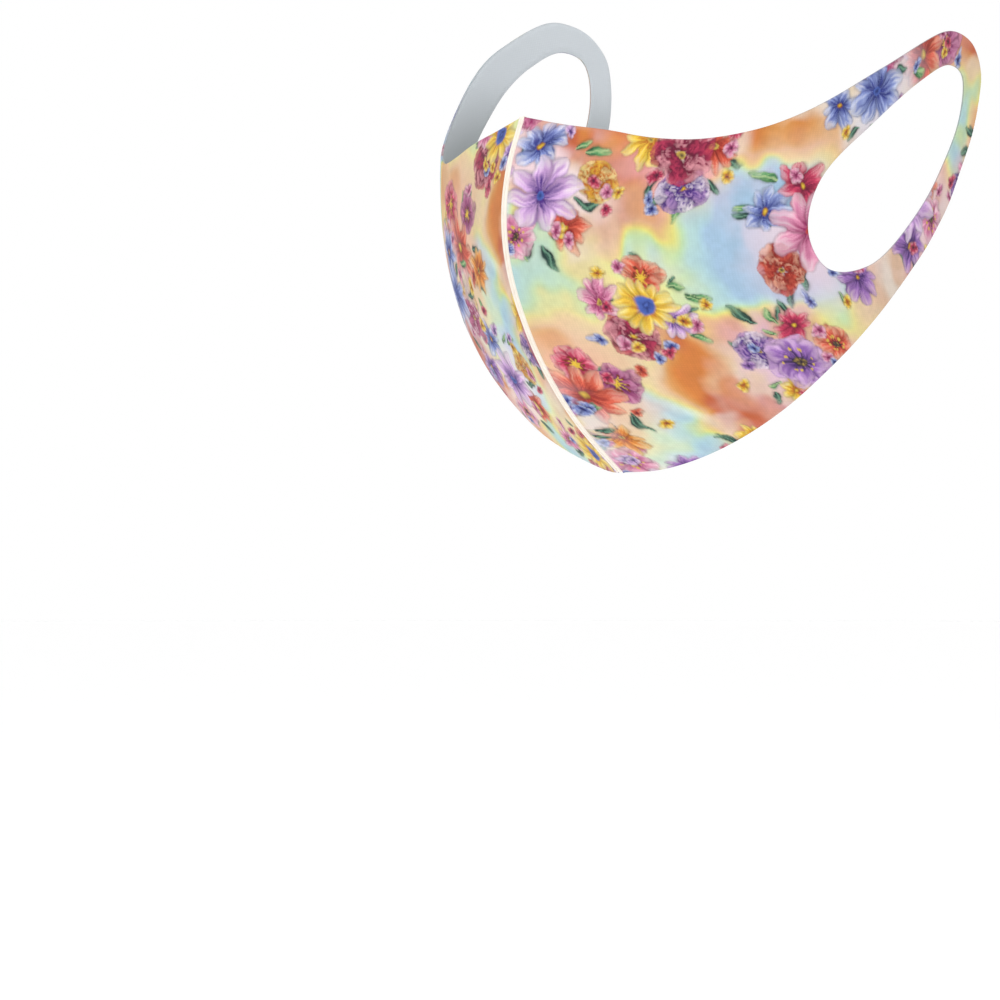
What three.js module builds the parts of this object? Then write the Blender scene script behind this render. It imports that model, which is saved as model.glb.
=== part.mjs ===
// A cloth face mask of the kind cut from thin bonded knit: two side panels, each with its ear loop
// cut out of the same cloth, joined along a curved seam down the middle. It is held open as when it is worn.
//
// Millimetres. The origin is the top end of the seam, which sits on the bridge of the nose.
// +Z is up, +Y points back towards the ears, and +X points to the wearer's left.
import * as THREE from "three";
import { mergeVertices } from "three/addons/utils/BufferGeometryUtils.js";

// The cloth and the seam
const CLOTH_THICKNESS = 1.2;
const SEAM_WIDTH = 1.7;
const SEAM_DEPTH = 2.4;
const SEAM_OVERRUN = 0.3; // how far the seam's ends stand past the cloth's edges
const PIECE_GAP = 0.3; // between the seam and each panel

// How the worn cloth is wrapped round the face. At each height it leaves the seam at an angle to
// straight back, and has turned to run towards the back of the head when it reaches the ears.
const EAR_STATION = 108; // from the seam's top end back to where the turn ends
const LEAVE_PULL = 0.5; // how far the cloth keeps its direction at the seam, as a share of the way
const ARRIVE_PULL = 0.52; // and at the ears
const TOE_IN = 6.3; // degrees by which the ear loops close in behind the head
const SECTIONS = [
  { height: 46, seam: 12.5, halfWidth: 90, leave: 88.5 },
  { height: 24, seam: 6.5, halfWidth: 85.3, leave: 82.1 },
  { height: 0, seam: 0, halfWidth: 81.5, leave: 74.3 },
  { height: -16, seam: -6.1, halfWidth: 79.9, leave: 68.8 },
  { height: -32, seam: -8.5, halfWidth: 79, leave: 64.7 },
  { height: -48, seam: -6.3, halfWidth: 78.3, leave: 61.4 },
  { height: -64, seam: 0.5, halfWidth: 76.3, leave: 58.8 },
  { height: -80, seam: 11, halfWidth: 70.2, leave: 56.3 },
  { height: -96, seam: 26.2, halfWidth: 57.9, leave: 54.6 },
  { height: -113, seam: 49, halfWidth: 37.2, leave: 53 },
];

// The loops are limp. The left one lies as it was cut, and the right one stands up in a rounder arch:
// the lift grows behind the cheek and fades out below the ear.
const ARCH_RISE = 19.7;
const ARCH_ALONG = { starts: 55, full: 127 };
const ARCH_UP = { starts: -60, full: 12 };

// The panel as it is cut: back is the distance along the cloth from the seam, and up is the height.
// The top edge runs from the nose to the ear loop's tip, and the bottom edge from the tip to the chin.
const TOP_EDGE = [
  { back: 0, up: 0 },
  { back: 14.8, up: -3.2 },
  { back: 30.7, up: -5.8 },
  { back: 45.7, up: -8.7 },
  { back: 60.9, up: -9.4 },
  { back: 77.2, up: -6.5 },
  { back: 92.2, up: -0.6 },
  { back: 122.1, up: 15.5 },
  { back: 152.5, up: 29.7 },
  { back: 162.5, up: 30.1 },
  { back: 172, up: 26.9 },
];
const BOTTOM_EDGE = [
  { back: 178.4, up: 19.3 },
  { back: 179.1, up: 9.8 },
  { back: 176.8, up: -4.2 },
  { back: 169.4, up: -22.6 },
  { back: 158.1, up: -35.4 },
  { back: 141.6, up: -48 },
  { back: 111.3, up: -67.8 },
  { back: 92, up: -79.4 },
  { back: 70.1, up: -91.5 },
  { back: 50.2, up: -100.3 },
  { back: 28.7, up: -107.4 },
  { back: 12.2, up: -110.9 },
  { back: 0, up: -111.5 },
];
const HOLE_TOP = [
  { back: 97.3, up: -39.3 },
  { back: 101.6, up: -21.6 },
  { back: 120.2, up: -2.1 },
  { back: 141.1, up: 12.8 },
  { back: 157.8, up: 19.8 },
];
const HOLE_BOTTOM = [
  { back: 167.2, up: 17 },
  { back: 168.9, up: 5.5 },
  { back: 161.1, up: -15.1 },
  { back: 147.6, up: -30.1 },
  { back: 121, up: -47 },
  { back: 102.5, up: -48.7 },
];
const TOP_CHEEK = 6; // the row of the top edge that lies over the front of the ear hole
const BOTTOM_CHEEK = 7; // and the row of the bottom edge below it

// How finely the curved cloth is divided. Each panel is an upper and a lower band, which meet along a
// line from the middle of the seam to the front of the ear hole, and again behind the hole.
const FRONT_STEPS = 18;
const LOOP_STEPS = 30;
const BAND_STEPS = 9;
const SEAM_STEPS = 34;
const SECTION_STEPS = 60; // by which a section's length is measured
const ROW_STEPS = 20; // by which the length between two rows of an edge is measured
const SLOPE_STEP = 0.2; // how far apart the points are that give the cloth's slope

const wrapTable = new THREE.CubicInterpolant(
  SECTIONS.map((row) => -row.height),
  SECTIONS.flatMap((row) => [row.seam, row.halfWidth, row.leave]),
  3,
);

// The cloth's curve at one height, seen from above, from the seam to the ear
function sectionAt(height) {
  const [seam, halfWidth, leave] = wrapTable.evaluate(-height);
  const start = new THREE.Vector2(0, seam);
  const end = new THREE.Vector2(halfWidth, EAR_STATION);
  const way = start.distanceTo(end);
  const leaving = THREE.MathUtils.degToRad(leave);
  const arriving = -THREE.MathUtils.degToRad(TOE_IN);
  const afterStart = start.clone();
  afterStart.x += LEAVE_PULL * way * Math.sin(leaving);
  afterStart.y += LEAVE_PULL * way * Math.cos(leaving);
  const beforeEnd = end.clone();
  beforeEnd.x -= ARRIVE_PULL * way * Math.sin(arriving);
  beforeEnd.y -= ARRIVE_PULL * way * Math.cos(arriving);
  const section = new THREE.CubicBezierCurve(start, afterStart, beforeEnd, end);
  section.arcLengthDivisions = SECTION_STEPS;
  return section;
}

// How far the right panel stands above the left one
function archLift(back, up) {
  const { smoothstep } = THREE.MathUtils;
  const along = smoothstep(back, ARCH_ALONG.starts, ARCH_ALONG.full);
  return ARCH_RISE * along * smoothstep(up, ARCH_UP.starts, ARCH_UP.full);
}

// The middle of the cloth's thickness, at a place on the cut panel
function clothPoint(back, up, side) {
  const section = sectionAt(up);
  const length = section.getLength();
  const place = section.getPointAt(THREE.MathUtils.clamp(back / length, 0, 1));
  const beyond = back < 0 ? back : Math.max(back - length, 0);
  if (beyond !== 0) place.addScaledVector(section.getTangent(back < 0 ? 0 : 1), beyond);
  if (side === "left") return new THREE.Vector3(place.x, place.y, up);
  return new THREE.Vector3(-place.x, place.y, up + archLift(back, up));
}

// The cloth's outward direction, and its direction away from the seam
function clothSlope(back, up, side) {
  const backwards = clothPoint(back + SLOPE_STEP, up, side).sub(clothPoint(back - SLOPE_STEP, up, side));
  const upwards = clothPoint(back, up + SLOPE_STEP, side).sub(clothPoint(back, up - SLOPE_STEP, side));
  const outward = new THREE.Vector3().crossVectors(backwards, upwards).normalize();
  if (side === "right") outward.negate();
  return { outward, backwards: backwards.normalize() };
}

// One face of the cloth. Its front edge is mitred, so that it lies flat beside the seam.
function facePoint(spot, side, offset) {
  const { outward, backwards } = clothSlope(spot.back, spot.up, side);
  const point = clothPoint(spot.back, spot.up, side).addScaledVector(outward, offset);
  const atSeam = spot.back < SLOPE_STEP;
  if (!atSeam) return point;
  const mitre = (side === "left" ? 1 : -1) * (SEAM_WIDTH / 2 + PIECE_GAP);
  return point.addScaledVector(backwards, (mitre - point.x) / backwards.x);
}

const vectors = (rows) => rows.map((row) => new THREE.Vector3(row.back, row.up, 0));

// Evenly spaced spots along a smooth edge, from one of its rows to another
function spotsAlong(edge, fromRow, toRow, steps) {
  edge.arcLengthDivisions = ROW_STEPS * (edge.closed ? edge.points.length : edge.points.length - 1);
  const lengths = edge.getLengths();
  const start = lengths[fromRow * ROW_STEPS];
  const end = lengths[toRow * ROW_STEPS];
  return Array.from({ length: steps + 1 }, (_, i) => {
    const point = edge.getPointAt(THREE.MathUtils.lerp(start, end, i / steps) / lengths.at(-1));
    return { back: Math.max(point.x, 0), up: point.y };
  });
}

// A band of cloth as rows of spots, from its inner edge to its outer edge
function bandSpots(inner, outer) {
  return inner.map((from, i) => {
    const to = outer[i];
    return Array.from({ length: BAND_STEPS + 1 }, (_, k) => ({
      back: THREE.MathUtils.lerp(from.back, to.back, k / BAND_STEPS),
      up: THREE.MathUtils.lerp(from.up, to.up, k / BAND_STEPS),
    }));
  });
}

// The two bands of a panel, both from the seam to the tip of the ear loop
function panelBands() {
  const edge = new THREE.CatmullRomCurve3(vectors([...TOP_EDGE, ...BOTTOM_EDGE]));
  const hole = new THREE.CatmullRomCurve3(vectors([...HOLE_TOP, ...HOLE_BOTTOM]), true);
  const edgeTip = TOP_EDGE.length;
  const holeTip = HOLE_TOP.length;
  const holeEnd = holeTip + HOLE_BOTTOM.length;
  const chin = edgeTip + BOTTOM_EDGE.length - 1;
  const bottomCheek = edgeTip + BOTTOM_CHEEK;

  const seamMiddle = new THREE.Vector3(0, BOTTOM_EDGE.at(-1).up / 2, 0);
  const middle = new THREE.LineCurve3(seamMiddle, hole.points[0])
    .getSpacedPoints(FRONT_STEPS)
    .map((point) => ({ back: point.x, up: point.y }));
  const join = (front, loop) => [...front.slice(0, -1), ...loop];
  const topInner = join(middle, spotsAlong(hole, 0, holeTip, LOOP_STEPS));
  const topOuter = join(
    spotsAlong(edge, 0, TOP_CHEEK, FRONT_STEPS),
    spotsAlong(edge, TOP_CHEEK, edgeTip, LOOP_STEPS),
  );
  const bottomInner = join(middle, spotsAlong(hole, holeEnd, holeTip, LOOP_STEPS));
  const bottomOuter = join(
    spotsAlong(edge, chin, bottomCheek, FRONT_STEPS),
    spotsAlong(edge, bottomCheek, edgeTip, LOOP_STEPS),
  );
  return { top: bandSpots(topInner, topOuter), bottom: bandSpots(bottomInner, bottomOuter) };
}

// A panel with its ear loop: the printed face, the plain back, and the cut edges between them
function panelGeometry(side) {
  const { top, bottom } = panelBands();
  const positions = [];
  const corner = (spot, face) => facePoint(spot, side, (face * CLOTH_THICKNESS) / 2).toArray();
  const quad = (a, b, c, d) => {
    const corners = side === "left" ? [a, b, c, a, c, d] : [a, c, b, a, d, c];
    positions.push(...corners.flat());
  };
  const wall = (a, b) => quad(corner(a, -1), corner(b, -1), corner(b, 1), corner(a, 1));
  for (const [band, isTop] of [[top, true], [bottom, false]]) {
    for (let i = 0; i + 1 < band.length; i++) {
      const [near, far] = isTop ? [band[i], band[i + 1]] : [band[i + 1], band[i]];
      for (let k = 0; k < BAND_STEPS; k++) {
        const spots = [near[k], far[k], far[k + 1], near[k + 1]];
        quad(...spots.map((spot) => corner(spot, 1)));
        quad(...spots.map((spot) => corner(spot, -1)).reverse());
      }
      wall(far.at(-1), near.at(-1));
      if (i >= FRONT_STEPS) wall(near[0], far[0]);
    }
    for (let k = 0; k < BAND_STEPS; k++) {
      const [low, high] = isTop ? [band[0][k], band[0][k + 1]] : [band[0][k + 1], band[0][k]];
      wall(high, low);
    }
  }
  const loose = new THREE.BufferGeometry();
  loose.setAttribute("position", new THREE.Float32BufferAttribute(positions, 3));
  const geometry = mergeVertices(loose, 1e-3);
  geometry.computeVertexNormals();
  return geometry;
}

// The seam: a rounded bead that follows the edge where the two panels meet
function seamGeometry() {
  const top = SEAM_OVERRUN;
  const bottom = BOTTOM_EDGE.at(-1).up - SEAM_OVERRUN;
  const line = [];
  for (let i = 0; i <= SEAM_STEPS; i++) {
    const height = THREE.MathUtils.lerp(top, bottom, i / SEAM_STEPS);
    line.push(new THREE.Vector3(0, wrapTable.evaluate(-height)[0], height));
  }
  const halfWidth = SEAM_WIDTH / 2;
  const straight = SEAM_DEPTH / 2 - halfWidth;
  const bead = new THREE.Shape();
  bead.absarc(0, straight, halfWidth, 0, Math.PI, false);
  bead.absarc(0, -straight, halfWidth, Math.PI, 2 * Math.PI, false);
  return new THREE.ExtrudeGeometry(bead, {
    steps: SEAM_STEPS,
    curveSegments: 5,
    bevelEnabled: false,
    extrudePath: new THREE.CatmullRomCurve3(line),
  });
}

const printedCloth = new THREE.MeshStandardMaterial({ color: "#e3b48f", roughness: 0.85, metalness: 0 });
const whiteSeam = new THREE.MeshStandardMaterial({ color: "#f3efe7", roughness: 0.7, metalness: 0 });

const mask = new THREE.Group();
for (const side of ["left", "right"]) {
  const panel = new THREE.Mesh(panelGeometry(side), printedCloth.clone());
  panel.name = `${side}_panel`;
  mask.add(panel);
}
const seam = new THREE.Mesh(seamGeometry(), whiteSeam);
seam.name = "centre_seam";
mask.add(seam);

export default mask;
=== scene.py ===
import math
from collections import namedtuple

import bpy
import numpy as np
from mathutils import Matrix, Vector
from mathutils.geometry import delaunay_2d_cdt


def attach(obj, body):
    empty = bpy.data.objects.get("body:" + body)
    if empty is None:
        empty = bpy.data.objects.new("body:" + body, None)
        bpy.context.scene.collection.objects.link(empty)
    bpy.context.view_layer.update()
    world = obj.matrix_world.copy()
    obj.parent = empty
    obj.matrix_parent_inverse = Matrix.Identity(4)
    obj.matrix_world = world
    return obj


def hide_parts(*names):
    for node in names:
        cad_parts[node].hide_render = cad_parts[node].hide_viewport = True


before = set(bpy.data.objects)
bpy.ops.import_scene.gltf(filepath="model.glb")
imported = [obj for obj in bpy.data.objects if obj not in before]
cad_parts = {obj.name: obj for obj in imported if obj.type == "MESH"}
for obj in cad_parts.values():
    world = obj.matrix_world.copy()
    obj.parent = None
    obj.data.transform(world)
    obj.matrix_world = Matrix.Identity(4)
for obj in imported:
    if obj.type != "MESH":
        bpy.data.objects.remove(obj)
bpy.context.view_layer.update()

# The camera
# A long lens, level with the chin and in front of the left cheek, so that the seam, the whole left
# panel and the inside of the right ear loop show.
LENS_MM = 135
SENSOR_MM = 36
AZIMUTH = math.radians(43)
ELEVATION = math.radians(-1)
PHOTO_PIXELS = 1000
PIXELS_PER_METRE = 3160  # at the top of the seam
SEAM_TOP_PIXEL = (523, 117)

back_way = Vector((
    math.sin(AZIMUTH) * math.cos(ELEVATION),
    -math.cos(AZIMUTH) * math.cos(ELEVATION),
    math.sin(ELEVATION),
))
right_way = Vector((math.cos(AZIMUTH), math.sin(AZIMUTH), 0))
up_way = back_way.cross(right_way)
focal_pixels = LENS_MM / SENSOR_MM * PHOTO_PIXELS
camera_place = (
    back_way * (focal_pixels / PIXELS_PER_METRE)
    - right_way * ((SEAM_TOP_PIXEL[0] - PHOTO_PIXELS / 2) / PIXELS_PER_METRE)
    - up_way * ((PHOTO_PIXELS / 2 - SEAM_TOP_PIXEL[1]) / PIXELS_PER_METRE)
)
camera_data = bpy.data.cameras.new("camera")
camera_data.lens = LENS_MM
camera_data.sensor_width = SENSOR_MM
camera = bpy.data.objects.new("camera", camera_data)
camera.matrix_world = Matrix((
    (right_way.x, up_way.x, back_way.x, camera_place.x),
    (right_way.y, up_way.y, back_way.y, camera_place.y),
    (right_way.z, up_way.z, back_way.z, camera_place.z),
    (0, 0, 0, 1),
))
bpy.context.scene.collection.objects.link(camera)
bpy.context.scene.camera = camera


# The two panels: the cut
# Each panel is one piece of thin knit bonded to foam, cut in one with its ear loop. Distances are in
# millimetres: back along the cloth from the seam, and up from the bridge of the nose.
MM = 0.001
Cut = namedtuple("Cut", "back up")
PANEL_EDGE = [  # from the nose along the top, round the loop's tip and down to the chin
    Cut(0, 0), Cut(14.8, -3.2), Cut(30.7, -5.8), Cut(45.7, -8.7), Cut(60.9, -9.4), Cut(77.2, -6.5),
    Cut(92.2, -0.6), Cut(122.1, 15.5), Cut(152.5, 29.7), Cut(162.5, 30.1), Cut(172, 26.9), Cut(178.4, 19.3),
    Cut(179.1, 9.8), Cut(176.8, -4.2), Cut(169.4, -22.6), Cut(158.1, -35.4), Cut(141.6, -48), Cut(111.3, -67.8),
    Cut(92, -79.4), Cut(70.1, -91.5), Cut(50.2, -100.3), Cut(28.7, -107.4), Cut(12.2, -110.9), Cut(0, -111.5),
]
EAR_HOLE = [
    Cut(97.3, -39.3), Cut(101.6, -21.6), Cut(120.2, -2.1), Cut(141.1, 12.8), Cut(157.8, 19.8), Cut(167.2, 17),
    Cut(168.9, 5.5), Cut(161.1, -15.1), Cut(147.6, -30.1), Cut(121, -47), Cut(102.5, -48.7),
]
CLOTH_THICKNESS = 1.2
SEAM_WIDTH = 2.1
SEAM_TUCK = 0.1  # how far the cloth runs into the seam
FRONT_EDGE = SEAM_WIDTH / 2 - SEAM_TUCK
EDGE_SPACING = 0.8
FACE_SPACING = 0.42  # fine enough to carry the print
LINING_SPACING = 1.6
LINING_BEVEL = 0.8  # the width over which the inside thins towards its cut edges
EDGE_MARGIN = 0.4  # of the other points, from the cut edges


def smooth_edge(rows, closed=False):
    """Evenly spaced points on the smooth curve through the rows, as a centripetal Catmull-Rom spline."""
    points = np.array(rows, float)
    if closed:
        points = np.vstack([points[-1], points, points[:2]])
    else:
        points = np.vstack([2 * points[0] - points[1], points, 2 * points[-1] - points[-2]])
    step = np.sqrt(np.linalg.norm(np.diff(points, axis=0), axis=1))[:, None]
    share = np.linspace(0, 1, 40, endpoint=False)[:, None]
    curve = []
    for i in range(1, len(points) - 2):
        before, start, end, after = points[i - 1:i + 3]
        slope_start = (start - before) / step[i - 1] - (end - before) / (step[i - 1] + step[i])
        slope_start = (slope_start + (end - start) / step[i]) * step[i]
        slope_end = (end - start) / step[i] - (after - start) / (step[i] + step[i + 1])
        slope_end = (slope_end + (after - end) / step[i + 1]) * step[i]
        curve.append(
            (2 * share**3 - 3 * share**2 + 1) * start + (share**3 - 2 * share**2 + share) * slope_start
            + (3 * share**2 - 2 * share**3) * end + (share**3 - share**2) * slope_end
        )
    curve = np.vstack(curve + [points[-2:-1]])
    length = np.append(0, np.cumsum(np.linalg.norm(np.diff(curve, axis=0), axis=1)))
    count = round(length[-1] / EDGE_SPACING)
    even = np.linspace(0, length[-1], count, endpoint=not closed)
    return np.stack([np.interp(even, length, curve[:, k]) for k in range(2)], axis=1)


def inside(points, loop):
    """Which points lie inside a closed outline."""
    odd = np.zeros(len(points), bool)
    for a, b in zip(loop, np.roll(loop, -1, axis=0)):
        spans = (a[1] > points[:, 1]) != (b[1] > points[:, 1])
        if a[1] != b[1]:
            crossing = a[0] + (points[:, 1] - a[1]) * (b[0] - a[0]) / (b[1] - a[1])
            odd ^= spans & (points[:, 0] < crossing)
    return odd


def clear_of(points, loop, margin):
    """Which points lie further than the margin from an outline's points and edges."""
    clear = np.ones(len(points), bool)
    for a, b in zip(loop, np.roll(loop, -1, axis=0)):
        low = np.minimum(a, b) - margin
        high = np.maximum(a, b) + margin
        near = np.flatnonzero(clear & (points > low).all(axis=1) & (points < high).all(axis=1))
        if len(near):
            along = np.clip((points[near] - a) @ (b - a) / ((b - a) @ (b - a)), 0, 1)
            gap = np.linalg.norm(points[near] - a - along[:, None] * (b - a), axis=1)
            clear[near[gap < margin]] = False
    return clear


def panel_outline():
    """The panel's whole outline, with its front edge drawn back to make room for the seam."""
    edge = smooth_edge(PANEL_EDGE)
    edge = edge[edge[:, 0] > FRONT_EDGE + EDGE_SPACING / 2]
    top = [FRONT_EDGE, PANEL_EDGE[0].up - 0.3]
    bottom = [FRONT_EDGE, PANEL_EDGE[-1].up + 0.1]
    front = np.linspace(bottom, top, round((top[1] - bottom[1]) / EDGE_SPACING))
    return np.vstack([front, edge]), len(front)


def beside(loop, distance):
    """A line of points to the right of a closed outline, or to its left where the distance is negative."""
    along = np.roll(loop, -1, axis=0) - np.roll(loop, 1, axis=0)
    along /= np.linalg.norm(along, axis=1)[:, None]
    return loop + distance * np.column_stack([along[:, 1], -along[:, 0]])


def cut_cloth(spacing, bevel):
    """Points and triangles that fill the cut panel. The outline comes first, and then the ear hole."""
    rows = np.arange(-115, 36, spacing * math.sqrt(3) / 2)
    columns = np.arange(0, 182, spacing)
    lattice = np.array([(x + spacing / 2 * (k % 2), y) for k, y in enumerate(rows) for x in columns])
    keep = inside(lattice, outline) & ~inside(lattice, ear_hole)
    lattice = lattice[keep]
    rim = np.vstack([beside(outline, bevel), beside(ear_hole, -bevel)])
    rim = rim[inside(rim, outline) & ~inside(rim, ear_hole)]
    for loop in (outline, ear_hole):
        lattice = lattice[clear_of(lattice, loop, bevel + EDGE_MARGIN)]
        rim = rim[clear_of(rim, loop, bevel * 0.9)]
    points = np.vstack([outline, ear_hole, rim, lattice] if bevel else [outline, ear_hole, lattice])
    fences = [(i, (i + 1) % len(outline)) for i in range(len(outline))]
    fences += [(len(outline) + i, len(outline) + (i + 1) % len(ear_hole)) for i in range(len(ear_hole))]
    found = delaunay_2d_cdt([Vector(p) for p in points], fences, [], 0, 1e-6)
    triangles = np.array(found[2])
    on_edges = (triangles < len(outline) + len(ear_hole)).all(axis=1)
    middles = points[triangles[on_edges]].mean(axis=1)
    outside = np.flatnonzero(on_edges)[~(inside(middles, outline) & ~inside(middles, ear_hole))]
    return points, np.delete(triangles, outside, axis=0)


outline, front_count = panel_outline()
ear_hole = smooth_edge(EAR_HOLE, closed=True)

# The two panels: the shape when worn
# At each height the cloth leaves the seam at an angle to straight back, bends round the cheek, and runs
# towards the back of the head by the ears. The limp right loop stands in a rounder arch than the left one.
EAR_STATION = 108
LEAVE_PULL = 0.5
ARRIVE_PULL = 0.52
TOE_IN = math.radians(6.3)
Section = namedtuple("Section", "height seam half_width leave")
SECTIONS = [
    Section(-113, 49, 37.2, 53),
    Section(-96, 26.2, 57.9, 54.6),
    Section(-80, 11, 70.2, 56.3),
    Section(-64, 0.5, 76.3, 58.8),
    Section(-48, -6.3, 78.3, 61.4),
    Section(-32, -8.5, 79, 64.7),
    Section(-16, -6.1, 79.9, 68.8),
    Section(0, 0, 81.5, 74.3),
    Section(24, 6.5, 85.3, 82.1),
    Section(46, 12.5, 90, 88.5),
]
ARCH_RISE = 19.7
ARCH_ALONG = (55, 127)
ARCH_UP = (-60, 12)


def smoothstep(low, high, x):
    share = np.clip((x - low) / (high - low), 0, 1)
    return share * share * (3 - 2 * share)


def section_values(up):
    """The seam's place, the half width and the leaving angle at each height, smoothly between the rows."""
    knots = np.array([row.height for row in SECTIONS], float)
    values = np.array([row[1:] for row in SECTIONS], float)
    secants = np.diff(values, axis=0) / np.diff(knots)[:, None]
    slopes = np.vstack([secants[:1], (secants[:-1] + secants[1:]) / 2, secants[-1:]])
    i = np.clip(np.searchsorted(knots, up) - 1, 0, len(knots) - 2)
    gap = (knots[i + 1] - knots[i])[:, None]
    p = np.clip((up - knots[i])[:, None] / gap, 0, 1)
    found = (2 * p**3 - 3 * p**2 + 1) * values[i] + (p**3 - 2 * p**2 + p) * gap * slopes[i]
    found += (3 * p**2 - 2 * p**3) * values[i + 1] + (p**3 - p**2) * gap * slopes[i + 1]
    return found.T


def worn_place(back, up):
    """Where each spot of the left panel's middle layer lies when worn, in millimetres."""
    seam, half_width, leave = section_values(up)
    leave = np.radians(leave)
    start = np.stack([np.zeros_like(seam), seam], axis=1)
    end = np.stack([half_width, np.full_like(seam, EAR_STATION)], axis=1)
    way = np.linalg.norm(end - start, axis=1)[:, None]
    after_start = start + LEAVE_PULL * way * np.stack([np.sin(leave), np.cos(leave)], axis=1)
    before_end = end - ARRIVE_PULL * way * np.array([-math.sin(TOE_IN), math.cos(TOE_IN)])
    share = np.linspace(0, 1, 61)[None, :, None]
    curve = (
        (1 - share)**3 * start[:, None] + 3 * (1 - share)**2 * share * after_start[:, None]
        + 3 * (1 - share) * share**2 * before_end[:, None] + share**3 * end[:, None]
    )
    length = np.cumsum(np.linalg.norm(np.diff(curve, axis=1), axis=2), axis=1)
    length = np.hstack([np.zeros((len(back), 1)), length])
    i = np.clip((length < back[:, None]).sum(axis=1) - 1, 0, 59)
    row = np.arange(len(back))
    p = (back - length[row, i]) / (length[row, i + 1] - length[row, i])
    t = (i + np.clip(p, 0, 1))[:, None] / 60
    place = (1 - t)**3 * start + 3 * (1 - t)**2 * t * after_start + 3 * (1 - t) * t**2 * before_end + t**3 * end
    beyond = np.clip(back - length[:, -1], 0, None)[:, None]
    place += beyond * np.array([-math.sin(TOE_IN), math.cos(TOE_IN)])
    return np.column_stack([place, up])


def arch_lift(back, up):
    """How far the right panel stands above the left one."""
    return ARCH_RISE * smoothstep(*ARCH_ALONG, back) * smoothstep(*ARCH_UP, up)


def worn_panel(points, side):
    """The panel's middle layer when worn. All points are on the left panel's side until the mirror."""
    place = np.vstack([worn_place(part[:, 0], part[:, 1]) for part in np.array_split(points, 12)])
    if side == "right":
        place[:, 2] += arch_lift(points[:, 0], points[:, 1])
    return place


def outward_ways(place, triangles):
    """The direction out of the printed face at each point, from the triangles that meet there."""
    a, b, c = (place[triangles[:, k]] for k in range(3))
    tilt = np.cross(b - a, c - a)
    ways = np.zeros_like(place)
    for k in range(3):
        np.add.at(ways, triangles[:, k], tilt)
    return ways / np.linalg.norm(ways, axis=1)[:, None]


def face_of_cloth(place, ways, offset, back):
    """One face of the cloth. Its front edge is mitred, so that it lies flat against the seam."""
    face = place + ways * offset
    least = FRONT_EDGE + 0.3 * (back - FRONT_EDGE)
    shift = np.where(back < FRONT_EDGE + 3, np.clip(least - face[:, 0], 0, None), 0)
    shift[:front_count] = FRONT_EDGE - face[:front_count, 0]
    moved = np.flatnonzero(shift)
    face[moved, 0] += shift[moved]
    face[moved, 1] -= shift[moved] * ways[moved, 0] / ways[moved, 1]
    return face


# The print
# A watercolour floral of the common kind: soft washes of peach, orange, sky blue and lemon with sprays
# of loose blossoms over them. It is painted spot by spot, in millimetres of cloth, in a repeat.
REPEAT = (132, 118)
SPRAY_REACH = 34
INK_SOFTNESS = 0.45
HAND_WOBBLE = 4.2  # how far the brush strays from a true shape
TIP_FADE = 0.8  # how much of the wet ground shows through at a petal's tip


def linear(code):
    """An sRGB hex colour as linear light."""
    parts = np.array([int(code[k:k + 2], 16) for k in (1, 3, 5)]) / 255
    return np.where(parts <= 0.04045, parts / 12.92, ((parts + 0.055) / 1.055) ** 2.4)


def clouds(spots, size, seed, layers=3):
    """Soft noise from 0 to 1 whose largest patches are about this size."""
    table = np.random.default_rng(seed).random((64, 64))
    total = np.zeros(len(spots))
    weight = 0
    for layer in range(layers):
        at = spots / size * 2**layer + 17.3 * layer + seed % 13
        cell = np.floor(at).astype(int)
        p = at - cell
        p = p * p * p * (p * (p * 6 - 15) + 10)
        x0, y0 = (cell % 64).T
        x1, y1 = ((cell + 1) % 64).T
        low = table[x0, y0] * (1 - p[:, 0]) + table[x1, y0] * p[:, 0]
        high = table[x0, y1] * (1 - p[:, 0]) + table[x1, y1] * p[:, 0]
        total += (low * (1 - p[:, 1]) + high * p[:, 1]) * 0.5**layer
        weight += 0.5**layer
    return total / weight


def tones(share, codes):
    """A colour for each spot, blended along a short row of hex colours."""
    stops = np.linspace(0, 1, len(codes))
    colours = np.array([linear(code) for code in codes])
    return np.stack([np.interp(share, stops, colours[:, k]) for k in range(3)], axis=1)


COOL_TO_WARM = (
    "#a0bdd6", "#a9cad6", "#b2d2cf", "#bbd7a8", "#dfda7c", "#e6c67a", "#deb080", "#d69a58", "#d07f3c", "#c2623c",
)
Wash = namedtuple("Wash", "colour size seed starts full strength coolest")
WASHES = [
    Wash("#d09684", 30, 11, 0.48, 0.64, 0.8, 0.42),
    Wash("#dfcbb0", 36, 29, 0.52, 0.68, 0.7, 0.36),
    Wash("#e6ebe6", 26, 3, 0.58, 0.74, 0.45, 0),
]


def watercolour_ground(spots):
    bend = np.stack([clouds(spots, 30, 5), clouds(spots, 22, 8)], axis=1) * 26
    warmth = clouds(spots * (1, 0.8) + bend, 36, 9)
    ground = tones(np.clip(0.6 + 2.8 * (warmth - 0.5), 0, 1), COOL_TO_WARM)
    for wash in WASHES:
        depth = clouds(spots * (1, 0.8) + bend, wash.size, wash.seed)
        cover = smoothstep(wash.starts, wash.full, depth) * wash.strength
        cover *= smoothstep(wash.coolest, wash.coolest + 0.14, warmth)
        ground += (linear(wash.colour) - ground) * cover[:, None]
    streaks = clouds(spots * (1, 0.35) + bend, 5, 37, 2)
    grain = clouds(spots, 1.6, 71, 2)
    return ground * (0.835 + 0.14 * streaks + 0.12 * grain)[:, None]


def near_spots(spots, centre, reach):
    gap = spots - centre
    return np.flatnonzero((np.abs(gap) < reach).all(axis=1))


def lay(paint, where, colour, cover):
    paint[where] += (colour - paint[where]) * np.clip(cover, 0, 1)[:, None]


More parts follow.
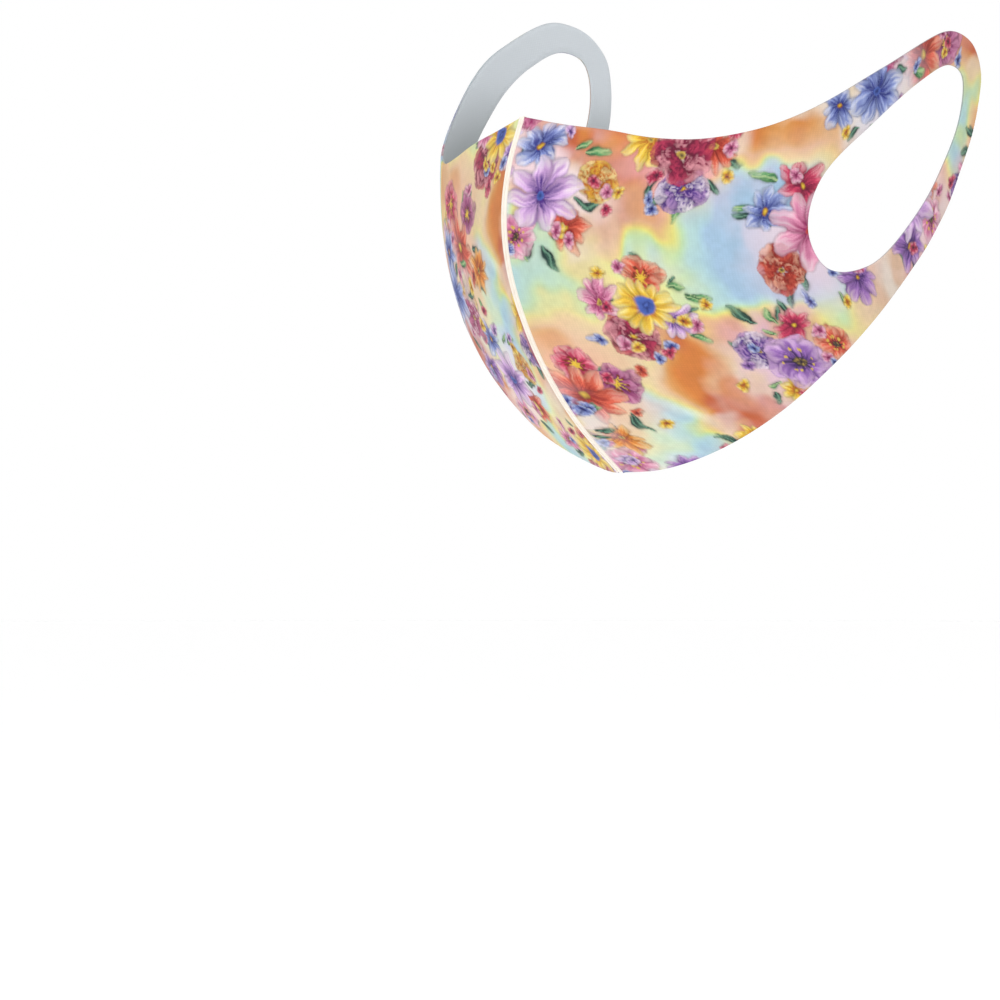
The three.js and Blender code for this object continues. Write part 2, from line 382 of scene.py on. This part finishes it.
def paint_petal(paint, spots, base, turn, length, width, codes, rng, fullness=1.5, veins=5):
    """One petal: a soft shadow round it, its body from the root's colour to the rim's, veins and an edge."""
    where = near_spots(spots, base, length * 1.2)
    if not len(where):
        return
    gap = (spots[where] - base) / length
    along = gap @ (math.cos(turn), math.sin(turn))
    across = gap @ (-math.sin(turn), math.cos(turn))
    across = across + rng.uniform(-0.12, 0.12) * along**2
    body = np.clip(along, 0, 1)
    half = width * np.sin(np.pi * body**fullness) ** 0.6
    ruffle = 1 + 0.05 * np.sin(along * rng.uniform(14, 22) + rng.uniform(0, 6))
    edge = (half * ruffle - np.abs(across)) * length
    edge = np.where((along > 0) & (along < 1), edge, -9)
    lay(paint, where, linear(codes[0]) * 0.6, 0.35 * smoothstep(-1.0, 0.2, edge))
    side = across / np.maximum(half, 1e-3)
    fibre = clouds(np.stack([along * 3, side * veins], axis=1), 1, int(rng.integers(1, 900)), 2)
    share = np.clip(body * 1.1 - 0.08 + 0.7 * (fibre - 0.5) - 0.16 * np.exp(-(side * 5) ** 2), 0, 1)
    colour = tones(share, codes) * (1 + 0.25 * side * rng.choice((-1, 1)))[:, None]
    colour *= (1 - 0.28 * np.exp(-((edge - 0.2) / 0.3) ** 2))[:, None]
    cover = smoothstep(-INK_SOFTNESS / 2, INK_SOFTNESS / 2, edge)
    lay(paint, where, colour, cover * (1 - TIP_FADE * smoothstep(0.5, 1, body) * fibre))


def paint_dot(paint, spots, centre, radius, codes, rng):
    where = near_spots(spots, centre, radius + 1)
    reach = np.linalg.norm(spots[where] - centre, axis=1) / radius
    speckle = clouds(spots[where], 1.1, int(rng.integers(1, 900)), 1)
    colour = tones(np.clip(reach + 0.5 * (speckle - 0.5), 0, 1), codes)
    lay(paint, where, colour, smoothstep(1.1, 0.8, reach))


def paint_stroke(paint, spots, start, end, width, code):
    where = near_spots(spots, (start + end) / 2, np.linalg.norm(end - start) / 2 + 1)
    way = end - start
    share = np.clip((spots[where] - start) @ way / (way @ way), 0, 1)
    gap = np.linalg.norm(spots[where] - start - share[:, None] * way, axis=1)
    lay(paint, where, linear(code), 0.8 * smoothstep(width, width * 0.3, gap))


def paint_leaf(paint, spots, base, turn, length, codes, rng):
    paint_petal(paint, spots, base, turn, length, 0.17, codes, rng, fullness=0.9, veins=9)
    tip = base + length * 0.85 * np.array([math.cos(turn), math.sin(turn)])
    paint_stroke(paint, spots, base, tip, 0.35, codes[-1])


def paint_cup(paint, spots, centre, size, codes, heart, rng):
    """An open blossom of broad petals round a dark heart with stamens."""
    turn = rng.uniform(0, 2 * math.pi)
    petals = int(rng.integers(5, 7))
    for ring, reach in enumerate((1.0, 0.86)):
        for k in range(petals):
            angle = turn + (k + ring / 2) * 2 * math.pi / petals + rng.uniform(-0.1, 0.1)
            length = size * reach * rng.uniform(0.88, 1.05)
            paint_petal(paint, spots, centre, angle, length, 0.42, codes, rng, fullness=1.9)
    paint_dot(paint, spots, centre, size * 0.16, (heart[1], heart[0]), rng)
    for k in range(9):
        angle = turn + k * 2 * math.pi / 9 + rng.uniform(-0.2, 0.2)
        tip = centre + size * rng.uniform(0.3, 0.45) * np.array([math.cos(angle), math.sin(angle)])
        paint_stroke(paint, spots, centre, tip, 0.3, heart[0])
        paint_dot(paint, spots, tip, 0.55, (heart[1], heart[1]), rng)


def paint_star(paint, spots, centre, size, codes, heart, rng):
    """A blossom of long petals with a deep throat."""
    turn = rng.uniform(0, 2 * math.pi)
    for k in (0, 2, 4, 6, 1, 3, 5, 7):
        angle = turn + k * math.pi / 4 + rng.uniform(-0.12, 0.12)
        length = size * rng.uniform(0.85, 1.1)
        paint_petal(paint, spots, centre, angle, length, 0.24, codes, rng, fullness=1.25)
    paint_dot(paint, spots, centre, size * 0.13, heart, rng)


def paint_daisy(paint, spots, centre, size, codes, heart, rng):
    """A blossom of many narrow petals round a wide heart."""
    turn = rng.uniform(0, 2 * math.pi)
    petals = int(rng.integers(11, 15))
    for k in range(petals):
        angle = turn + k * 2 * math.pi / petals
        length = size * rng.uniform(0.88, 1.08)
        paint_petal(paint, spots, centre, angle, length, 0.19, codes, rng, fullness=1.8, veins=3)
    paint_dot(paint, spots, centre, size * 0.36, heart, rng)
    paint_dot(paint, spots, centre, size * 0.15, heart[::-1], rng)


def paint_rosette(paint, spots, centre, size, codes, heart, rng):
    """A full blossom: rings of short broad petals, darker towards the middle."""
    turn = rng.uniform(0, 2 * math.pi)
    for ring, petals in enumerate((8, 7, 6, 5, 3)):
        reach = size * (1, 0.8, 0.6, 0.42, 0.26)[ring]
        deep = min(ring, len(codes) - 2)
        for k in range(petals):
            angle = turn + ring * 0.5 + k * 2 * math.pi / petals + rng.uniform(-0.15, 0.15)
            base = centre + reach * 0.22 * np.array([math.cos(angle), math.sin(angle)])
            blend = (codes[max(deep - 1, 0)], codes[0], codes[1 + (k + ring) % (len(codes) - 1)])
            paint_petal(paint, spots, base, angle, reach * 0.8, 0.55, blend, rng, fullness=2.1)
    paint_dot(paint, spots, centre, size * 0.13, heart, rng)


PINK = ("#93285c", "#d486a6", "#efd0d8")
BLUE = ("#28317f", "#8391c6", "#dadfee")
LILY = ("#4a2a7c", "#c79fd0", "#f1e2ec")
VIOLET = ("#452667", "#9468ae", "#d9b6d9")
YELLOW = ("#b8641e", "#e3bf3f", "#ece39a")
CRIMSON = ("#741337", "#c33a5b", "#eba3ac")
PLUM = ("#4c1849", "#94406f", "#d48fb0")
CORAL = ("#94281f", "#d25c45", "#eab093")
ORANGE = ("#a4461a", "#dc8a34", "#efca84")
FRESH_LEAF = ("#27583c", "#5f9a62", "#afc890")
DARK_LEAF = ("#1a2f30", "#365a4c", "#6c9a80")
GOLD_HEART = ("#e3be3c", "#74301a")
BLUE_HEART = ("#1c2763", "#4c67b8")
RED_HEART = ("#78182a", "#cf4c3c")
INK_HEART = ("#21162b", "#cfae4c")

Spray = namedtuple("Spray", "along up main size codes heart partners")
SPRAYS = [
    Spray(18, 92, paint_star, 13, LILY, BLUE_HEART, (VIOLET, PINK, CORAL, YELLOW, BLUE)),
    Spray(62, 104, paint_rosette, 10, CRIMSON, INK_HEART, (ORANGE, YELLOW, LILY, CORAL)),
    Spray(104, 80, paint_star, 14, PINK, RED_HEART, (BLUE, CORAL, VIOLET, LILY, CRIMSON)),
    Spray(46, 56, paint_daisy, 10, YELLOW, BLUE_HEART, (CRIMSON, LILY, CORAL, PINK)),
    Spray(88, 34, paint_cup, 12, VIOLET, INK_HEART, (PINK, CORAL, CRIMSON, LILY, YELLOW)),
    Spray(14, 22, paint_star, 13, CORAL, GOLD_HEART, (CRIMSON, PINK, YELLOW, ORANGE, PLUM)),
    Spray(126, 8, paint_star, 12, BLUE, BLUE_HEART, (VIOLET, PINK, BLUE)),
]


def paint_spray(paint, spots, centre, spray, seed):
    """A spray of blossoms: leaves and sprigs below, the partners round the main one, and small ones last."""
    rng = np.random.default_rng(seed)

    def beside(reach):
        angle = rng.uniform(0, 2 * math.pi)
        return centre + reach * np.array([math.cos(angle), math.sin(angle)]), angle

    far = np.linalg.norm(spots - centre, axis=1) / (2.3 * spray.size)
    damp = smoothstep(1.1, 0.3, far) * smoothstep(0.3, 0.6, clouds(spots, 15, 200 + seed))
    paint += (linear(spray.codes[2]) - paint) * (0.7 * damp)[:, None]
    for k in range(12):
        base, angle = beside(spray.size * rng.uniform(0.8, 1.6))
        codes = FRESH_LEAF if k % 3 == 0 else DARK_LEAF
        paint_leaf(paint, spots, base, angle + rng.uniform(-0.8, 0.8), rng.uniform(4, 8.5), codes, rng)
    start = rng.uniform(0, 2 * math.pi)
    share = 2 * math.pi / len(spray.partners)
    for k, codes in enumerate(spray.partners):
        angle = start + k * share + rng.uniform(-0.3, 0.3)
        place = centre + spray.size * rng.uniform(0.95, 1.5) * np.array([math.cos(angle), math.sin(angle)])
        paint_it = (paint_star, paint_cup, paint_star, paint_rosette)[(k + seed) % 4]
        paint_it(paint, spots, place, rng.uniform(6.5, 9.5), codes, (GOLD_HEART, INK_HEART)[k % 2], rng)
    spray.main(paint, spots, centre, spray.size, spray.codes, spray.heart, rng)
    for k in range(11):
        place, angle = beside(spray.size * rng.uniform(1.0, 2.0))
        codes = (PINK, BLUE, YELLOW, spray.codes, CRIMSON)[k % 5]
        turn = rng.uniform(0, 6)
        for petal in range(5):
            paint_petal(paint, spots, place, turn + petal * 1.257, rng.uniform(1.8, 3), 0.45, codes, rng, 1.9)
        paint_dot(paint, spots, place, 0.6, (INK_HEART[0], codes[0]), rng)


def paint_print(spots):
    """The print's linear colour at each spot of cloth."""
    paint = watercolour_ground(spots)
    wobble = np.stack([clouds(spots, 7, 83), clouds(spots, 7, 89)], axis=1) - 0.5
    spots = spots + HAND_WOBBLE * wobble
    low, high = spots.min(axis=0) - SPRAY_REACH, spots.max(axis=0) + SPRAY_REACH
    for seed, spray in enumerate(SPRAYS):
        home = np.array([spray.along, spray.up], float)
        first = np.ceil((low - home) / REPEAT).astype(int)
        last = np.floor((high - home) / REPEAT).astype(int)
        for i in range(first[0], last[0] + 1):
            for j in range(first[1], last[1] + 1):
                centre = home + np.array([i, j]) * REPEAT
                near = near_spots(spots, centre, SPRAY_REACH)
                patch = paint[near]
                paint_spray(patch, spots[near], centre, spray, 40 + seed)
                paint[near] = patch
    return np.clip(paint, 0, 1)


# The panels: mesh and materials
# Smooth stretch knit is bonded to both sides of a thin foam: printed outside, grey with painted shade inside.
# The hot knife that cuts the panel also melts its edge shut into a thin darker line. Nothing is hemmed.
KNIT_SPACING = 0.9  # mm between ribs. The real knit is about half as coarse, too fine to show
EDGE_THICKNESS = 0.5  # mm left where the knife melts the cloth shut
EDGE_BULGE = 0.1  # mm by which the cut edge stands out between the two faces
EDGE_PROFILE = [(0.75, 0.7), (0, 1), (-0.75, 0.7)]  # offset and bulge, as shares, from face to back


def node(material, kind, settings=None, links=None):
    """Adds a node, sets its values and inputs, and links inputs to (other node, output), by name or number."""
    made = material.node_tree.nodes.new(kind)
    for name, value in (settings or {}).items():
        if isinstance(name, int) or name in made.inputs:
            made.inputs[name].default_value = value
        else:
            setattr(made, name, value)
    for name, (other, output) in (links or {}).items():
        material.node_tree.links.new(other.outputs[output], made.inputs[name])
    return made


def new_material(name):
    material = bpy.data.materials.new(name)
    material.use_nodes = True
    material.node_tree.nodes.clear()
    return material


def knit_relief(material):
    """The ribs and rows of loops of a fine knit, from the cloth's own map: its bump, and its height, which also
    drives painted shade in the knit's hollows.
    """
    cloth = node(material, "ShaderNodeUVMap", {"uv_map": "cloth"})
    scale = 1 / (KNIT_SPACING * MM)
    grid = node(material, "ShaderNodeMapping", {"Scale": (scale, scale * 1.4, 1)}, {"Vector": (cloth, "UV")})
    one_wave = math.pi / 10  # the Wave texture's scale for one rib a unit
    ribs = node(material, "ShaderNodeTexWave", {"bands_direction": "X", "Scale": one_wave, "Distortion": 0.5},
                {"Vector": (grid, "Vector")})
    rows = node(material, "ShaderNodeTexWave", {"bands_direction": "Y", "Scale": one_wave, "Distortion": 1.2},
                {"Vector": (grid, "Vector")})
    fuzz = node(material, "ShaderNodeTexNoise", {"Scale": 0.7, "Detail": 3}, {"Vector": (grid, "Vector")})
    loops = node(material, "ShaderNodeMath", {"operation": "MULTIPLY"}, {0: (ribs, "Fac"), 1: (rows, "Fac")})
    height = node(material, "ShaderNodeMath", {"operation": "ADD"}, {0: (loops, "Value"), 1: (fuzz, "Fac")})
    bump = node(material, "ShaderNodeBump", {"Strength": 0.4, "Distance": 0.05 * MM}, {"Height": (height, "Value")})
    return bump, height


def printed_knit():
    """Sublimation print on polyester knit: matt, with a faint bloom of fibre at grazing angles."""
    material = new_material("printed polyester knit")
    print_colour = node(material, "ShaderNodeAttribute", {"attribute_name": "print"})
    bump, height = knit_relief(material)
    # Painted shade: the print is darkened in the knit's hollows and lightened on its loops, from the relief's height.
    knit_painted_shade = node(material, "ShaderNodeMapRange", {"From Min": 0.2, "From Max": 1.5, "To Min": 0.95, "To Max": 1.03},
                 {"Value": (height, "Value")})
    ink = node(material, "ShaderNodeVectorMath", {"operation": "SCALE"},
               {0: (print_colour, "Color"), "Scale": (knit_painted_shade, "Result")})
    shader = node(material, "ShaderNodeBsdfPrincipled", {
        "Roughness": 0.82, "Specular IOR Level": 0.35, "Sheen Weight": 0.08, "Sheen Roughness": 0.5,
    }, {"Base Color": (ink, "Vector"), "Normal": (bump, "Normal")})
    node(material, "ShaderNodeOutputMaterial", links={"Surface": (shader, "BSDF")})
    return material


def grey_knit_with_painted_shade():
    """The back of the cloth: the same polyester knit in grey, with painted shade in its colour, darker low down and
    paler from the loops' height up.
    """
    material = new_material("grey polyester knit with painted shade")
    bump, height = knit_relief(material)
    cloth = node(material, "ShaderNodeUVMap", {"uv_map": "cloth"})
    spot = node(material, "ShaderNodeSeparateXYZ", links={0: (cloth, "UV")})
    # Painted shade: the grey runs from dark 20 mm below the bridge of the nose to pale 10 mm above it, standing in
    # for shade inside the mask.
    painted_shade_height = node(material, "ShaderNodeMapRange", {
        "interpolation_type": "SMOOTHSTEP", "From Min": -20 * MM, "From Max": 10 * MM,
    }, {"Value": (spot, "Y")})
    grey_painted_shade = node(material, "ShaderNodeMix", {
        "data_type": "RGBA", 6: (*linear("#8f9495"), 1), 7: (*linear("#ced4d9"), 1),
    }, {0: (painted_shade_height, "Result")})
    # Painted shade: the grey is darkened in the knit's hollows and lightened on its loops, from the relief's height.
    knit_painted_shade = node(material, "ShaderNodeMapRange", {"From Min": 0.2, "From Max": 1.5, "To Min": 0.96, "To Max": 1.02},
                 {"Value": (height, "Value")})
    grey_with_painted_shade = node(material, "ShaderNodeVectorMath", {"operation": "SCALE"}, {0: (grey_painted_shade, 2), "Scale": (knit_painted_shade, "Result")})
    shader = node(material, "ShaderNodeBsdfPrincipled", {
        "Roughness": 0.85, "Specular IOR Level": 0.3, "Sheen Weight": 0.06, "Sheen Roughness": 0.5,
    }, {"Base Color": (grey_with_painted_shade, "Vector"), "Normal": (bump, "Normal")})
    node(material, "ShaderNodeOutputMaterial", links={"Surface": (shader, "BSDF")})
    return material


def melted_edge():
    """Print and grey yarn melted together by the hot knife: darker, smoother and a little uneven."""
    material = new_material("hot-cut polyester edge")
    cloth = node(material, "ShaderNodeUVMap", {"uv_map": "cloth"})
    print_colour = node(material, "ShaderNodeAttribute", {"attribute_name": "print"})
    uneven = node(material, "ShaderNodeTexNoise", {"Scale": 1 / (1.5 * MM), "Detail": 3}, {"Vector": (cloth, "UV")})
    share = node(material, "ShaderNodeMapRange", {"From Min": 0.3, "From Max": 0.7, "To Min": 0.5, "To Max": 0.7},
                 {"Value": (uneven, "Fac")})
    melt = node(material, "ShaderNodeMix", {"data_type": "RGBA", 7: (*linear("#8f9093"), 1)},
                {0: (share, "Result"), 6: (print_colour, "Color")})
    shader = node(material, "ShaderNodeBsdfPrincipled", {"Roughness": 0.6}, {"Base Color": (melt, 2)})
    node(material, "ShaderNodeOutputMaterial", links={"Surface": (shader, "BSDF")})
    return material


def length_up(points):
    """How far up the cloth each point is when measured along it, so that a slope doesn't stretch the print."""
    backs = np.arange(0, 184, 4.0)
    ups = np.arange(-116, 36, 2.0)
    grid_back, grid_up = np.meshgrid(backs, ups, indexing="ij")
    place = worn_place(grid_back.ravel(), grid_up.ravel()).reshape(len(backs), len(ups), 3)
    length = np.cumsum(np.linalg.norm(np.diff(place, axis=1), axis=2), axis=1)
    length = np.hstack([np.zeros((len(backs), 1)), length])
    length -= length[:, ups == 0]
    x = points[:, 0] / 4
    y = (points[:, 1] + 116) / 2
    i = np.clip(x.astype(int), 0, len(backs) - 2)
    j = np.clip(y.astype(int), 0, len(ups) - 2)
    p, q = x - i, y - j
    low = length[i, j] * (1 - p) + length[i + 1, j] * p
    high = length[i, j + 1] * (1 - p) + length[i + 1, j + 1] * p
    return low * (1 - q) + high * q


def edge_loops(face, back, ways, loop_start, loop_count):
    """The rounded cut edge between the two faces, as loops of points from the face to the back."""
    span = slice(loop_start, loop_start + loop_count)
    middle = (face[span] + back[span]) / 2
    along = np.roll(middle, -1, axis=0) - np.roll(middle, 1, axis=0)
    out = np.cross(along, ways[span])
    out /= np.linalg.norm(out, axis=1)[:, None]
    half = (face[span] - back[span]) / 2
    return [middle + half * offset + out * EDGE_BULGE * bulge for offset, bulge in EDGE_PROFILE]


def build_panel(side):
    fine, fine_triangles = printed_cut
    coarse, coarse_triangles = lining_cut
    loops = ((0, len(outline)), (len(outline), len(ear_hole)))
    fine_place = worn_panel(fine, side)
    fine_ways = outward_ways(fine_place, fine_triangles)
    coarse_place = worn_panel(coarse, side)
    coarse_ways = outward_ways(coarse_place, coarse_triangles)
    edge_count = len(outline) + len(ear_hole)
    coarse_ways[:edge_count] = fine_ways[:edge_count]
    half = np.full((len(fine), 1), CLOTH_THICKNESS / 2)
    half[front_count:edge_count] = EDGE_THICKNESS / 2
    face = face_of_cloth(fine_place, fine_ways, half, fine[:, 0])
    back = face_of_cloth(coarse_place, coarse_ways, -half[:len(coarse)], coarse[:, 0])

    places = [face, back]
    cloth = [fine, coarse]
    faces = [fine_triangles, coarse_triangles[:, ::-1] + len(face)]
    kinds = [np.zeros(len(fine_triangles)), np.ones(len(coarse_triangles))]
    offset = len(face) + len(back)
    for start, count in loops:
        rows = [np.arange(start, start + count)]
        for loop in edge_loops(face, back, fine_ways, start, count):
            rows.append(offset + np.arange(count))
            places.append(loop)
            cloth.append(fine[start:start + count])
            offset += count
        rows.append(len(face) + np.arange(start, start + count))
        for upper, lower in zip(rows, rows[1:]):
            ahead_upper, ahead_lower = np.roll(upper, -1), np.roll(lower, -1)
            faces.append(np.column_stack([ahead_upper, upper, lower]))
            faces.append(np.column_stack([ahead_upper, lower, ahead_lower]))
            kinds.append(np.full(2 * count, 2))
    places = np.vstack(places)
    cloth = np.vstack(cloth)
    faces = np.vstack(faces)
    kinds = np.concatenate(kinds).astype(int)
    if side == "right":
        places[:, 0] *= -1
        faces = faces[:, ::-1]

    mesh = bpy.data.meshes.new(f"{side}_cloth")
    mesh.from_pydata((places * MM).tolist(), [], faces.tolist())
    mesh.polygons.foreach_set("use_smooth", np.ones(len(faces), bool))
    mesh.polygons.foreach_set("material_index", kinds)
    for material in cloth_materials:
        mesh.materials.append(material)
    corners = np.zeros(len(mesh.loops), int)
    mesh.loops.foreach_get("vertex_index", corners)
    map_layer = mesh.uv_layers.new(name="cloth")
    map_layer.data.foreach_set("uv", (cloth[corners] * MM).astype(np.float32).ravel())
    on_bolt = np.column_stack([fine[:, 0], length_up(fine)])
    if side == "right":
        on_bolt[:, 0] *= -1
    ink = paint_print(on_bolt + BOLT_PLACE[side])
    rims = [np.tile(ink[start:start + count], (len(EDGE_PROFILE), 1)) for start, count in loops]
    colours = np.ones((len(places), 4))
    colours[:, :3] = np.vstack([ink, np.ones((len(back), 3)), *rims])
    layer = mesh.color_attributes.new("print", "FLOAT_COLOR", "POINT")
    layer.data.foreach_set("color", colours.astype(np.float32).ravel())
    mesh.update()
    panel = bpy.data.objects.new(f"{side}_cloth", mesh)
    bpy.context.scene.collection.objects.link(panel)
    return panel


BOLT_PLACE = {"left": np.array([6, 118]), "right": np.array([57, 61])}  # where each was cut from the cloth
printed_cut = cut_cloth(FACE_SPACING, bevel=0)
lining_cut = cut_cloth(LINING_SPACING, bevel=LINING_BEVEL)
cloth_materials = [printed_knit(), grey_knit_with_painted_shade(), melted_edge()]
for side in ("left", "right"):
    panel = build_panel(side)
    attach(panel, "root")
    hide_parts(f"{side}_panel")

# The seam
# The two panels' front edges are turned out and bonded into one raised white rib from the nose to the
# chin. It shows as two rounded lips with a fine line between them, cut level with the panels at its ends.
SEAM_DEPTH = 1.7
SEAM_OVERRUN = 0.1
LIP_RADIUS = SEAM_WIDTH / 4
SEAM_STEPS = 260


def seam_profile():
    """One section of the seam as (across, depth): two lips in front, two behind."""
    turn = np.linspace(math.radians(-8), math.radians(172), 9)
    lip = np.column_stack([LIP_RADIUS + LIP_RADIUS * np.cos(turn), LIP_RADIUS * np.sin(turn)])
    lip[:, 1] += SEAM_DEPTH / 2 - LIP_RADIUS
    front = np.vstack([lip, lip[::-1][1:] * (-1, 1)])
    return np.vstack([front, -front])


def build_seam():
    heights = np.linspace(SEAM_OVERRUN, PANEL_EDGE[-1].up - SEAM_OVERRUN, SEAM_STEPS)
    depth = section_values(heights)[0]
    line = np.column_stack([np.zeros(SEAM_STEPS), depth, heights])
    way = np.gradient(line, axis=0)
    way /= np.linalg.norm(way, axis=1)[:, None]
    forward = np.cross((1, 0, 0), way)
    profile = seam_profile()
    rings = []
    for i in range(SEAM_STEPS):
        ring = line[i] + profile[:, :1] * (1, 0, 0) + profile[:, 1:] * forward[i]
        beyond = np.maximum(ring[:, 2] - heights[0], 0) + np.minimum(ring[:, 2] - heights[-1], 0)
        rings.append(ring - way[i] * (beyond / way[i][2])[:, None])
    count = len(profile)
    faces = []
    for i in range(SEAM_STEPS - 1):
        for k in range(count):
            ahead = (k + 1) % count
            faces.append((i * count + k, i * count + ahead, (i + 1) * count + ahead, (i + 1) * count + k))
    faces.append(tuple(range(count))[::-1])
    faces.append(tuple((SEAM_STEPS - 1) * count + k for k in range(count)))
    mesh = bpy.data.meshes.new("bonded_seam")
    mesh.from_pydata((np.vstack(rings) * MM).tolist(), [], faces)
    mesh.polygons.foreach_set("use_smooth", [len(face) == 4 for face in faces])
    mesh.materials.append(bonded_seam())
    seam = bpy.data.objects.new("bonded_seam", mesh)
    bpy.context.scene.collection.objects.link(seam)
    return seam


def bonded_seam():
    """White polyurethane bonding film over the turned edges: smooth, with a soft gloss."""
    material = new_material("white polyurethane bonding film")
    place = node(material, "ShaderNodeTexCoord")
    uneven = node(material, "ShaderNodeTexNoise", {"Scale": 1 / (3 * MM), "Detail": 3}, {"Vector": (place, "Object")})
    film = node(material, "ShaderNodeMix", {
        "data_type": "RGBA", 6: (*linear("#eadfd0"), 1), 7: (*linear("#faf4ea"), 1),
    }, {0: (uneven, "Fac")})
    bump = node(material, "ShaderNodeBump", {"Strength": 0.25, "Distance": 0.1 * MM}, {"Height": (uneven, "Fac")})
    shader = node(material, "ShaderNodeBsdfPrincipled", {"Roughness": 0.5},
                  {"Base Color": (film, 2), "Normal": (bump, "Normal")})
    node(material, "ShaderNodeOutputMaterial", links={"Surface": (shader, "BSDF")})
    return material


seam = build_seam()
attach(seam, "root")
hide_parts("centre_seam")

# The floor and the light
# A wide matt white floor below the camera, in a room with white walls and a dimmer ceiling. A broad light
# from above whitens the floor, and two soft boxes in front give the cloth its shape.
FLOOR_DROP = 0.15  # metres below the camera
FLOOR_RADIUS = 9
CEILING = 0.25
OVERHEAD = 2.2
SoftBox = namedtuple("SoftBox", "name azimuth elevation distance size power")
SOFT_BOXES = [
    SoftBox("key", 43, 30, 1.5, 0.5, 3.8),
    SoftBox("front", 12, 10, 1.5, 0.5, 2.1),
]


def build_floor():
    turns = np.linspace(0, 2 * math.pi, 96, endpoint=False)
    height = camera_place.z - FLOOR_DROP
    rim = [(FLOOR_RADIUS * math.cos(turn), FLOOR_RADIUS * math.sin(turn), height) for turn in turns]
    mesh = bpy.data.meshes.new("floor")
    mesh.from_pydata(rim, [], [tuple(range(len(rim)))])
    material = new_material("matt white paper")
    place = node(material, "ShaderNodeTexCoord")
    fibre = node(material, "ShaderNodeTexNoise", {"Scale": 1 / (2 * MM), "Detail": 2}, {"Vector": (place, "Object")})
    paper = node(material, "ShaderNodeMix", {
        "data_type": "RGBA", 6: (*linear("#fbfbfb"), 1), 7: (*linear("#fefefe"), 1),
    }, {0: (fibre, "Fac")})
    shader = node(material, "ShaderNodeBsdfPrincipled", {"Roughness": 0.95, "Specular IOR Level": 0.1},
                  {"Base Color": (paper, 2)})
    node(material, "ShaderNodeOutputMaterial", links={"Surface": (shader, "BSDF")})
    mesh.materials.append(material)
    floor = bpy.data.objects.new("floor", mesh)
    bpy.context.scene.collection.objects.link(floor)


def add_light(kind, name, settings, place):
    """A light that faces the middle of the mask."""
    data = bpy.data.lights.new(name, kind)
    for setting, value in settings.items():
        setattr(data, setting, value)
    middle = Vector((0, 0.06, -0.04))
    light = bpy.data.objects.new(name, data)
    light.location = middle + place
    light.rotation_euler = (-place).to_track_quat("-Z", "Y").to_euler()
    bpy.context.scene.collection.objects.link(light)


build_floor()
add_light("SUN", "overhead", {"angle": math.radians(60), "energy": OVERHEAD}, Vector((0, 0, 2)))
for box in SOFT_BOXES:
    turn, rise = math.radians(box.azimuth), math.radians(box.elevation)
    way = Vector((math.sin(turn) * math.cos(rise), -math.cos(turn) * math.cos(rise), math.sin(rise)))
    add_light("AREA", box.name, {"size": box.size, "energy": box.power}, way * box.distance)
world = bpy.data.worlds.new("white room")
world.use_nodes = True
view_from = node(world, "ShaderNodeTexCoord")
towards = node(world, "ShaderNodeSeparateXYZ", links={0: (view_from, "Generated")})
walls = node(world, "ShaderNodeMapRange", {
    "interpolation_type": "SMOOTHSTEP", "From Min": 0.2, "From Max": 0.45, "To Min": 1, "To Max": CEILING,
}, {"Value": (towards, "Z")})
background = world.node_tree.nodes["Background"]
background.inputs["Color"].default_value = (1, 1, 1, 1)
world.node_tree.links.new(walls.outputs["Result"], background.inputs["Strength"])
bpy.context.scene.world = world
bpy.context.scene.view_settings.view_transform = "Standard"
